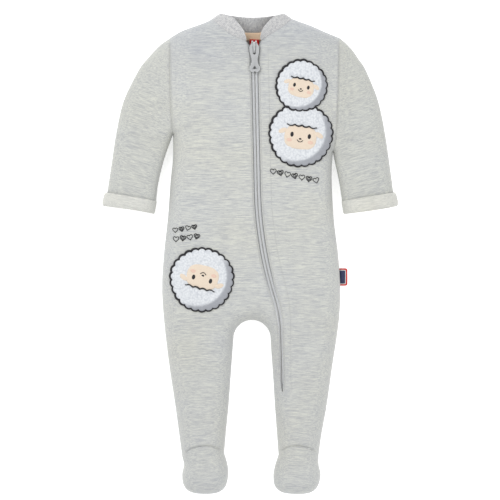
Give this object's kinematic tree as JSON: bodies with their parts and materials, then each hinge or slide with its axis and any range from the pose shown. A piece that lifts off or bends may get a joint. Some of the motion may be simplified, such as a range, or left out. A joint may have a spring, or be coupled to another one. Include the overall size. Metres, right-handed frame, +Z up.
{
  "type": "baby sleeping bag",
  "caption": "Footed long-sleeved baby sleeping suit, laid flat, with turned-back cuffs, a band collar, round lamb patches and a zip from the neck into one leg.",
  "frame": {"origin": "on the surface that the suit lies on, in the middle of its width and length", "axes": "+X to the wearer's left, +Y to the head, +Z up out of the suit's front"},
  "size_m": [0.396, 0.6471, 0.0486],
  "materials": {
    "jersey": "soft heather-grey cotton jersey, matte",
    "jersey_leg": "the same jersey on the legs and feet, matte",
    "jersey_sleeve": "the same jersey on the sleeves, matte",
    "cuff_lining": "turned-back cream inside of the jersey, matte",
    "collar_rib": "ribbed knit, matte",
    "neck_facing": "tan woven cotton strip, matte",
    "neck_label": "red woven label, slight satin",
    "label_white": "white printed satin label",
    "side_label": "navy and white woven label with a red edge",
    "zip_tape": "woven polyester tape, matte",
    "zip_coil": "moulded nylon coil, semi-matte",
    "zip_metal": "grey lacquered zip slider and stops",
    "fleece": "white curly fleece, matte",
    "felt_face": "beige short-pile felt, matte",
    "embroidery": "black embroidery thread, slight sheen"
  },
  "bodies": {
    "torso": {"back_panel": "jersey", "front_right_panel": "jersey", "front_left_panel": "jersey", "right_sleeve_head": "jersey_sleeve", "left_sleeve_head": "jersey_sleeve", "collar_band": "collar_rib", "neck_facing": "neck_facing", "neck_label": "neck_label", "care_label": "label_white", "zip_tape_right_torso": "zip_tape", "zip_tape_left_torso": "zip_tape", "zip_coil_right_torso": "zip_coil", "zip_coil_left_torso": "zip_coil", "zip_guard_torso": "jersey", "zip_top_stops": "zip_metal", "small_lamb_fleece": "fleece", "small_lamb_edge": "embroidery", "small_lamb_face": "felt_face", "large_lamb_fleece": "fleece", "large_lamb_edge": "embroidery", "large_lamb_face": "felt_face", "hip_lamb_fleece": "fleece", "hip_lamb_edge": "embroidery", "hip_lamb_face": "felt_face", "chest_heart_row": "embroidery", "hip_heart_row": "embroidery"},
    "zip_slider": {"slider_body": "zip_metal", "slider_crown": "zip_metal"},
    "pull_tab": {"pull_tab": "zip_metal"},
    "right_sleeve": {"right_sleeve": "jersey_sleeve", "right_cuff": "cuff_lining"},
    "left_sleeve": {"left_sleeve": "jersey_sleeve", "left_cuff": "cuff_lining"},
    "right_leg": {"right_leg_front": "jersey_leg", "right_leg_back": "jersey_leg"},
    "left_leg": {"left_leg_front": "jersey_leg", "left_leg_back": "jersey_leg", "zip_tape_right_leg": "zip_tape", "zip_tape_left_leg": "zip_tape", "zip_coil_right_leg": "zip_coil", "zip_coil_left_leg": "zip_coil", "zip_guard_leg": "jersey_leg", "zip_bottom_stop": "zip_metal"},
    "right_foot": {"right_foot_upper": "jersey_leg", "right_foot_sole": "jersey_leg"},
    "left_foot": {"left_foot_upper": "jersey_leg", "left_foot_sole": "jersey_leg"},
    "side_label": {"side_label": "side_label"}
  },
  "joints": [
    {"name": "zip_slide", "type": "slide", "parent": "torso", "child": "zip_slider", "axis": [0.0222, -0.9998, 0], "range_m": [0, 0.178]},
    {"name": "pull_tab_hinge", "type": "hinge", "parent": "zip_slider", "child": "pull_tab", "pos_m": [0.00435, 0.28075, 0.04515], "axis": [-0.9998, -0.0222, 0], "range_deg": [0, 170]},
    {"name": "right_sleeve_bend", "type": "hinge", "parent": "torso", "child": "right_sleeve", "pos_m": [-0.15, 0.1385, 0.015], "axis": [0, 0, -1], "range_deg": [0, 60]},
    {"name": "left_sleeve_bend", "type": "hinge", "parent": "torso", "child": "left_sleeve", "pos_m": [0.15, 0.1385, 0.015], "axis": [0, 0, 1], "range_deg": [0, 60]},
    {"name": "right_leg_bend", "type": "hinge", "parent": "torso", "child": "right_leg", "pos_m": [-0.07, -0.1335, 0.019], "axis": [0, 0, -1], "range_deg": [-6, 25]},
    {"name": "left_leg_bend", "type": "hinge", "parent": "torso", "child": "left_leg", "pos_m": [0.07, -0.1335, 0.019], "axis": [0, 0, 1], "range_deg": [-6, 25]},
    {"name": "right_ankle_bend", "type": "hinge", "parent": "right_leg", "child": "right_foot", "pos_m": [-0.062, -0.2735, 0.038], "axis": [-1, 0, 0], "range_deg": [0, 50]},
    {"name": "left_ankle_bend", "type": "hinge", "parent": "left_leg", "child": "left_foot", "pos_m": [0.062, -0.2735, 0.038], "axis": [-1, 0, 0], "range_deg": [0, 50]},
    {"name": "side_label_bend", "type": "hinge", "parent": "torso", "child": "side_label", "pos_m": [0.1195, -0.032, 0.021], "axis": [0, 1, 0], "range_deg": [-60, 60], "stiffness_Nm_per_rad": 0.0002}
  ]
}
